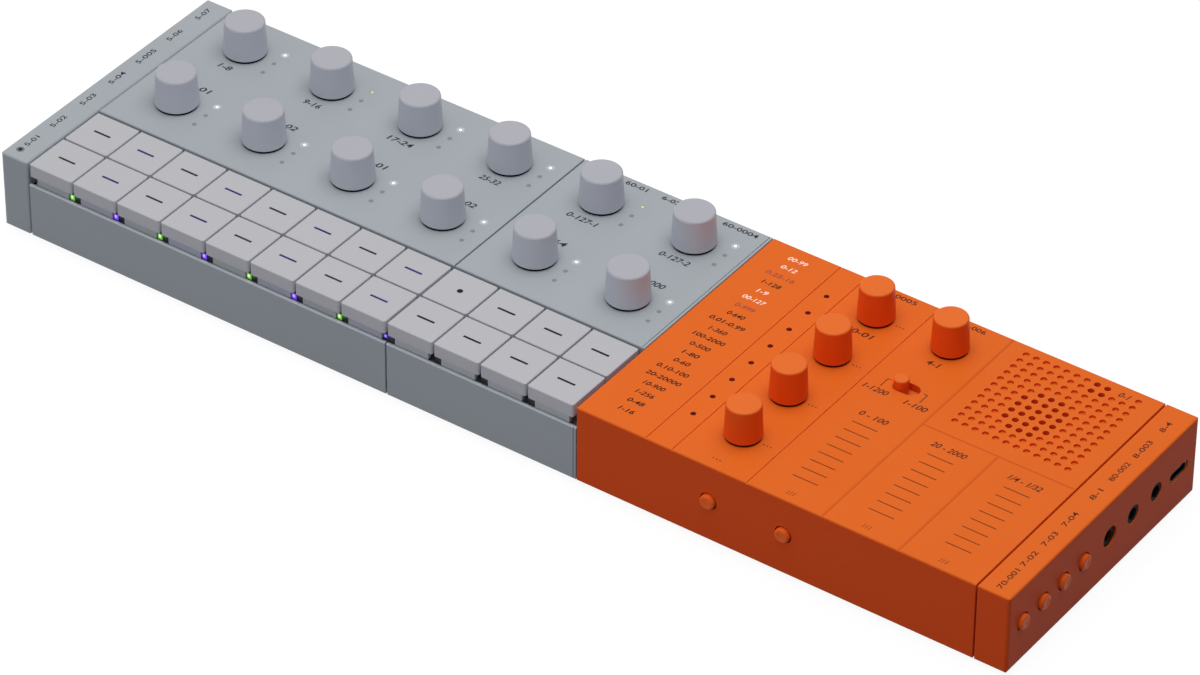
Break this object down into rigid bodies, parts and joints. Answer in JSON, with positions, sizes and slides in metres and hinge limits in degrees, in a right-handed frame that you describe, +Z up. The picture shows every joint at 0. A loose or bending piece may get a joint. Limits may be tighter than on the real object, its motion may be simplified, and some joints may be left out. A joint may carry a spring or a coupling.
{
  "type": "drum machine",
  "caption": "Slim tabletop drum machine with square keys, turning knobs, an effects block with touch strips, a speaker grille, side buttons and sockets.",
  "frame": {"origin": "middle of the bounding box, on the surface that the feet stand on", "axes": "+X along the case towards the socket end, +Y from the key side to the rear, +Z up"},
  "size_m": [0.344, 0.0978, 0.038],
  "materials": {
    "case_grey": "fine satin moulding",
    "cover_grey": "fine satin moulding",
    "key_grey": "smooth matt keycap",
    "knob_grey": "soft matt",
    "button_grey": "soft matt",
    "case_orange": "fine satin moulding",
    "knob_orange": "soft matt",
    "button_orange": "soft matt",
    "board": "solder mask",
    "mat_rubber": "silicone rubber",
    "lens": "clear moulding",
    "battery": "foil pouch",
    "speaker": "black frame",
    "socket": "black moulding",
    "foot_rubber": "matt rubber"
  },
  "bodies": {
    "case": {"left_end_cap": "case_grey", "drum_housing": "case_grey", "synth_housing": "case_grey", "fx_housing": "case_orange", "right_end_cap": "case_orange", "bottom_cover": "cover_grey", "main_board": "board", "key_mat": "mat_rubber", "indicator_lenses": "lens", "battery_pack": "battery", "speaker": "speaker", "sockets": "socket", "rubber_feet": "foot_rubber"},
    "drum_key_1": {"drum_key_1": "key_grey"},
    "drum_key_2": {"drum_key_2": "key_grey"},
    "drum_key_3": {"drum_key_3": "key_grey"},
    "drum_key_4": {"drum_key_4": "key_grey"},
    "drum_key_5": {"drum_key_5": "key_grey"},
    "drum_key_6": {"drum_key_6": "key_grey"},
    "drum_key_7": {"drum_key_7": "key_grey"},
    "drum_key_8": {"drum_key_8": "key_grey"},
    "drum_key_9": {"drum_key_9": "key_grey"},
    "drum_key_10": {"drum_key_10": "key_grey"},
    "drum_key_11": {"drum_key_11": "key_grey"},
    "drum_key_12": {"drum_key_12": "key_grey"},
    "drum_key_13": {"drum_key_13": "key_grey"},
    "drum_key_14": {"drum_key_14": "key_grey"},
    "drum_key_15": {"drum_key_15": "key_grey"},
    "drum_key_16": {"drum_key_16": "key_grey"},
    "synth_key_1": {"synth_key_1": "key_grey"},
    "synth_key_2": {"synth_key_2": "key_grey"},
    "synth_key_3": {"synth_key_3": "key_grey"},
    "synth_key_4": {"synth_key_4": "key_grey"},
    "synth_key_5": {"synth_key_5": "key_grey"},
    "synth_key_6": {"synth_key_6": "key_grey"},
    "synth_key_7": {"synth_key_7": "key_grey"},
    "synth_key_8": {"synth_key_8": "key_grey"},
    "drum_knob_1": {"drum_knob_1": "knob_grey"},
    "drum_knob_2": {"drum_knob_2": "knob_grey"},
    "drum_knob_3": {"drum_knob_3": "knob_grey"},
    "drum_knob_4": {"drum_knob_4": "knob_grey"},
    "drum_knob_5": {"drum_knob_5": "knob_grey"},
    "drum_knob_6": {"drum_knob_6": "knob_grey"},
    "drum_knob_7": {"drum_knob_7": "knob_grey"},
    "drum_knob_8": {"drum_knob_8": "knob_grey"},
    "synth_knob_1": {"synth_knob_1": "knob_grey"},
    "synth_knob_2": {"synth_knob_2": "knob_grey"},
    "synth_knob_3": {"synth_knob_3": "knob_grey"},
    "synth_knob_4": {"synth_knob_4": "knob_grey"},
    "sound_knob_1": {"sound_knob_1": "knob_orange"},
    "sound_knob_2": {"sound_knob_2": "knob_orange"},
    "sound_knob_3": {"sound_knob_3": "knob_orange"},
    "sound_knob_4": {"sound_knob_4": "knob_orange"},
    "fx_knob": {"fx_knob": "knob_orange"},
    "slide_switch": {"slide_switch": "knob_orange"},
    "left_buttons": {"left_buttons": "button_grey"},
    "right_buttons": {"right_buttons": "button_orange"},
    "front_buttons": {"front_buttons": "button_orange"},
    "rear_grey_buttons": {"rear_grey_buttons": "button_grey"},
    "rear_orange_buttons": {"rear_orange_buttons": "button_orange"}
  },
  "joints": [
    {"name": "drum_key_1_press", "type": "slide", "parent": "case", "child": "drum_key_1", "axis": [0, 0, -1], "range_m": [0, 0.001], "stiffness_N_per_m": 500, "springref_m": -0.0005},
    {"name": "drum_key_2_press", "type": "slide", "parent": "case", "child": "drum_key_2", "axis": [0, 0, -1], "range_m": [0, 0.001], "stiffness_N_per_m": 500, "springref_m": -0.0005},
    {"name": "drum_key_3_press", "type": "slide", "parent": "case", "child": "drum_key_3", "axis": [0, 0, -1], "range_m": [0, 0.001], "stiffness_N_per_m": 500, "springref_m": -0.0005},
    {"name": "drum_key_4_press", "type": "slide", "parent": "case", "child": "drum_key_4", "axis": [0, 0, -1], "range_m": [0, 0.001], "stiffness_N_per_m": 500, "springref_m": -0.0005},
    {"name": "drum_key_5_press", "type": "slide", "parent": "case", "child": "drum_key_5", "axis": [0, 0, -1], "range_m": [0, 0.001], "stiffness_N_per_m": 500, "springref_m": -0.0005},
    {"name": "drum_key_6_press", "type": "slide", "parent": "case", "child": "drum_key_6", "axis": [0, 0, -1], "range_m": [0, 0.001], "stiffness_N_per_m": 500, "springref_m": -0.0005},
    {"name": "drum_key_7_press", "type": "slide", "parent": "case", "child": "drum_key_7", "axis": [0, 0, -1], "range_m": [0, 0.001], "stiffness_N_per_m": 500, "springref_m": -0.0005},
    {"name": "drum_key_8_press", "type": "slide", "parent": "case", "child": "drum_key_8", "axis": [0, 0, -1], "range_m": [0, 0.001], "stiffness_N_per_m": 500, "springref_m": -0.0005},
    {"name": "drum_key_9_press", "type": "slide", "parent": "case", "child": "drum_key_9", "axis": [0, 0, -1], "range_m": [0, 0.001], "stiffness_N_per_m": 500, "springref_m": -0.0005},
    {"name": "drum_key_10_press", "type": "slide", "parent": "case", "child": "drum_key_10", "axis": [0, 0, -1], "range_m": [0, 0.001], "stiffness_N_per_m": 500, "springref_m": -0.0005},
    {"name": "drum_key_11_press", "type": "slide", "parent": "case", "child": "drum_key_11", "axis": [0, 0, -1], "range_m": [0, 0.001], "stiffness_N_per_m": 500, "springref_m": -0.0005},
    {"name": "drum_key_12_press", "type": "slide", "parent": "case", "child": "drum_key_12", "axis": [0, 0, -1], "range_m": [0, 0.001], "stiffness_N_per_m": 500, "springref_m": -0.0005},
    {"name": "drum_key_13_press", "type": "slide", "parent": "case", "child": "drum_key_13", "axis": [0, 0, -1], "range_m": [0, 0.001], "stiffness_N_per_m": 500, "springref_m": -0.0005},
    {"name": "drum_key_14_press", "type": "slide", "parent": "case", "child": "drum_key_14", "axis": [0, 0, -1], "range_m": [0, 0.001], "stiffness_N_per_m": 500, "springref_m": -0.0005},
    {"name": "drum_key_15_press", "type": "slide", "parent": "case", "child": "drum_key_15", "axis": [0, 0, -1], "range_m": [0, 0.001], "stiffness_N_per_m": 500, "springref_m": -0.0005},
    {"name": "drum_key_16_press", "type": "slide", "parent": "case", "child": "drum_key_16", "axis": [0, 0, -1], "range_m": [0, 0.001], "stiffness_N_per_m": 500, "springref_m": -0.0005},
    {"name": "synth_key_1_press", "type": "slide", "parent": "case", "child": "synth_key_1", "axis": [0, 0, -1], "range_m": [0, 0.001], "stiffness_N_per_m": 500, "springref_m": -0.0005},
    {"name": "synth_key_2_press", "type": "slide", "parent": "case", "child": "synth_key_2", "axis": [0, 0, -1], "range_m": [0, 0.001], "stiffness_N_per_m": 500, "springref_m": -0.0005},
    {"name": "synth_key_3_press", "type": "slide", "parent": "case", "child": "synth_key_3", "axis": [0, 0, -1], "range_m": [0, 0.001], "stiffness_N_per_m": 500, "springref_m": -0.0005},
    {"name": "synth_key_4_press", "type": "slide", "parent": "case", "child": "synth_key_4", "axis": [0, 0, -1], "range_m": [0, 0.001], "stiffness_N_per_m": 500, "springref_m": -0.0005},
    {"name": "synth_key_5_press", "type": "slide", "parent": "case", "child": "synth_key_5", "axis": [0, 0, -1], "range_m": [0, 0.001], "stiffness_N_per_m": 500, "springref_m": -0.0005},
    {"name": "synth_key_6_press", "type": "slide", "parent": "case", "child": "synth_key_6", "axis": [0, 0, -1], "range_m": [0, 0.001], "stiffness_N_per_m": 500, "springref_m": -0.0005},
    {"name": "synth_key_7_press", "type": "slide", "parent": "case", "child": "synth_key_7", "axis": [0, 0, -1], "range_m": [0, 0.001], "stiffness_N_per_m": 500, "springref_m": -0.0005},
    {"name": "synth_key_8_press", "type": "slide", "parent": "case", "child": "synth_key_8", "axis": [0, 0, -1], "range_m": [0, 0.001], "stiffness_N_per_m": 500, "springref_m": -0.0005},
    {"name": "drum_knob_1_turn", "type": "hinge", "parent": "case", "child": "drum_knob_1", "pos_m": [-0.14492, 0.00065, 0.0268], "axis": [0, 0, 1], "continuous": true},
    {"name": "drum_knob_2_turn", "type": "hinge", "parent": "case", "child": "drum_knob_2", "pos_m": [-0.11306, 0.00065, 0.0268], "axis": [0, 0, 1], "continuous": true},
    {"name": "drum_knob_3_turn", "type": "hinge", "parent": "case", "child": "drum_knob_3", "pos_m": [-0.0812, 0.00065, 0.0268], "axis": [0, 0, 1], "continuous": true},
    {"name": "drum_knob_4_turn", "type": "hinge", "parent": "case", "child": "drum_knob_4", "pos_m": [-0.04934, 0.00065, 0.0268], "axis": [0, 0, 1], "continuous": true},
    {"name": "drum_knob_5_turn", "type": "hinge", "parent": "case", "child": "drum_knob_5", "pos_m": [-0.14492, 0.03275, 0.0268], "axis": [0, 0, 1], "continuous": true},
    {"name": "drum_knob_6_turn", "type": "hinge", "parent": "case", "child": "drum_knob_6", "pos_m": [-0.11306, 0.03275, 0.0268], "axis": [0, 0, 1], "continuous": true},
    {"name": "drum_knob_7_turn", "type": "hinge", "parent": "case", "child": "drum_knob_7", "pos_m": [-0.0812, 0.03275, 0.0268], "axis": [0, 0, 1], "continuous": true},
    {"name": "drum_knob_8_turn", "type": "hinge", "parent": "case", "child": "drum_knob_8", "pos_m": [-0.04934, 0.03275, 0.0268], "axis": [0, 0, 1], "continuous": true},
    {"name": "synth_knob_1_turn", "type": "hinge", "parent": "case", "child": "synth_knob_1", "pos_m": [-0.01726, 0.00065, 0.0268], "axis": [0, 0, 1], "continuous": true},
    {"name": "synth_knob_2_turn", "type": "hinge", "parent": "case", "child": "synth_knob_2", "pos_m": [0.0146, 0.00065, 0.0268], "axis": [0, 0, 1], "continuous": true},
    {"name": "synth_knob_3_turn", "type": "hinge", "parent": "case", "child": "synth_knob_3", "pos_m": [-0.01726, 0.03275, 0.0268], "axis": [0, 0, 1], "continuous": true},
    {"name": "synth_knob_4_turn", "type": "hinge", "parent": "case", "child": "synth_knob_4", "pos_m": [0.0146, 0.03275, 0.0268], "axis": [0, 0, 1], "continuous": true},
    {"name": "sound_knob_1_turn", "type": "hinge", "parent": "case", "child": "sound_knob_1", "pos_m": [0.07522, -0.0313, 0.0268], "axis": [0, 0, 1], "continuous": true},
    {"name": "sound_knob_2_turn", "type": "hinge", "parent": "case", "child": "sound_knob_2", "pos_m": [0.07522, -0.00967, 0.0268], "axis": [0, 0, 1], "continuous": true},
    {"name": "sound_knob_3_turn", "type": "hinge", "parent": "case", "child": "sound_knob_3", "pos_m": [0.07522, 0.01197, 0.0268], "axis": [0, 0, 1], "continuous": true},
    {"name": "sound_knob_4_turn", "type": "hinge", "parent": "case", "child": "sound_knob_4", "pos_m": [0.07522, 0.0336, 0.0268], "axis": [0, 0, 1], "continuous": true},
    {"name": "fx_knob_turn", "type": "hinge", "parent": "case", "child": "fx_knob", "pos_m": [0.09951, 0.0336, 0.0268], "axis": [0, 0, 1], "continuous": true},
    {"name": "slide_switch_slide", "type": "slide", "parent": "case", "child": "slide_switch", "axis": [1, 0, 0], "range_m": [0, 0.0035]},
    {"name": "left_buttons_press", "type": "slide", "parent": "case", "child": "left_buttons", "axis": [1, 0, 0], "range_m": [0, 0.0006], "stiffness_N_per_m": 900, "springref_m": -0.0005},
    {"name": "right_buttons_press", "type": "slide", "parent": "case", "child": "right_buttons", "axis": [-1, 0, 0], "range_m": [0, 0.0006], "stiffness_N_per_m": 900, "springref_m": -0.0005},
    {"name": "front_buttons_press", "type": "slide", "parent": "case", "child": "front_buttons", "axis": [0, 1, 0], "range_m": [0, 0.0006], "stiffness_N_per_m": 900, "springref_m": -0.0005},
    {"name": "rear_grey_buttons_press", "type": "slide", "parent": "case", "child": "rear_grey_buttons", "axis": [0, -1, 0], "range_m": [0, 0.0006], "stiffness_N_per_m": 900, "springref_m": -0.0005},
    {"name": "rear_orange_buttons_press", "type": "slide", "parent": "case", "child": "rear_orange_buttons", "axis": [0, -1, 0], "range_m": [0, 0.0006], "stiffness_N_per_m": 900, "springref_m": -0.0005}
  ]
}
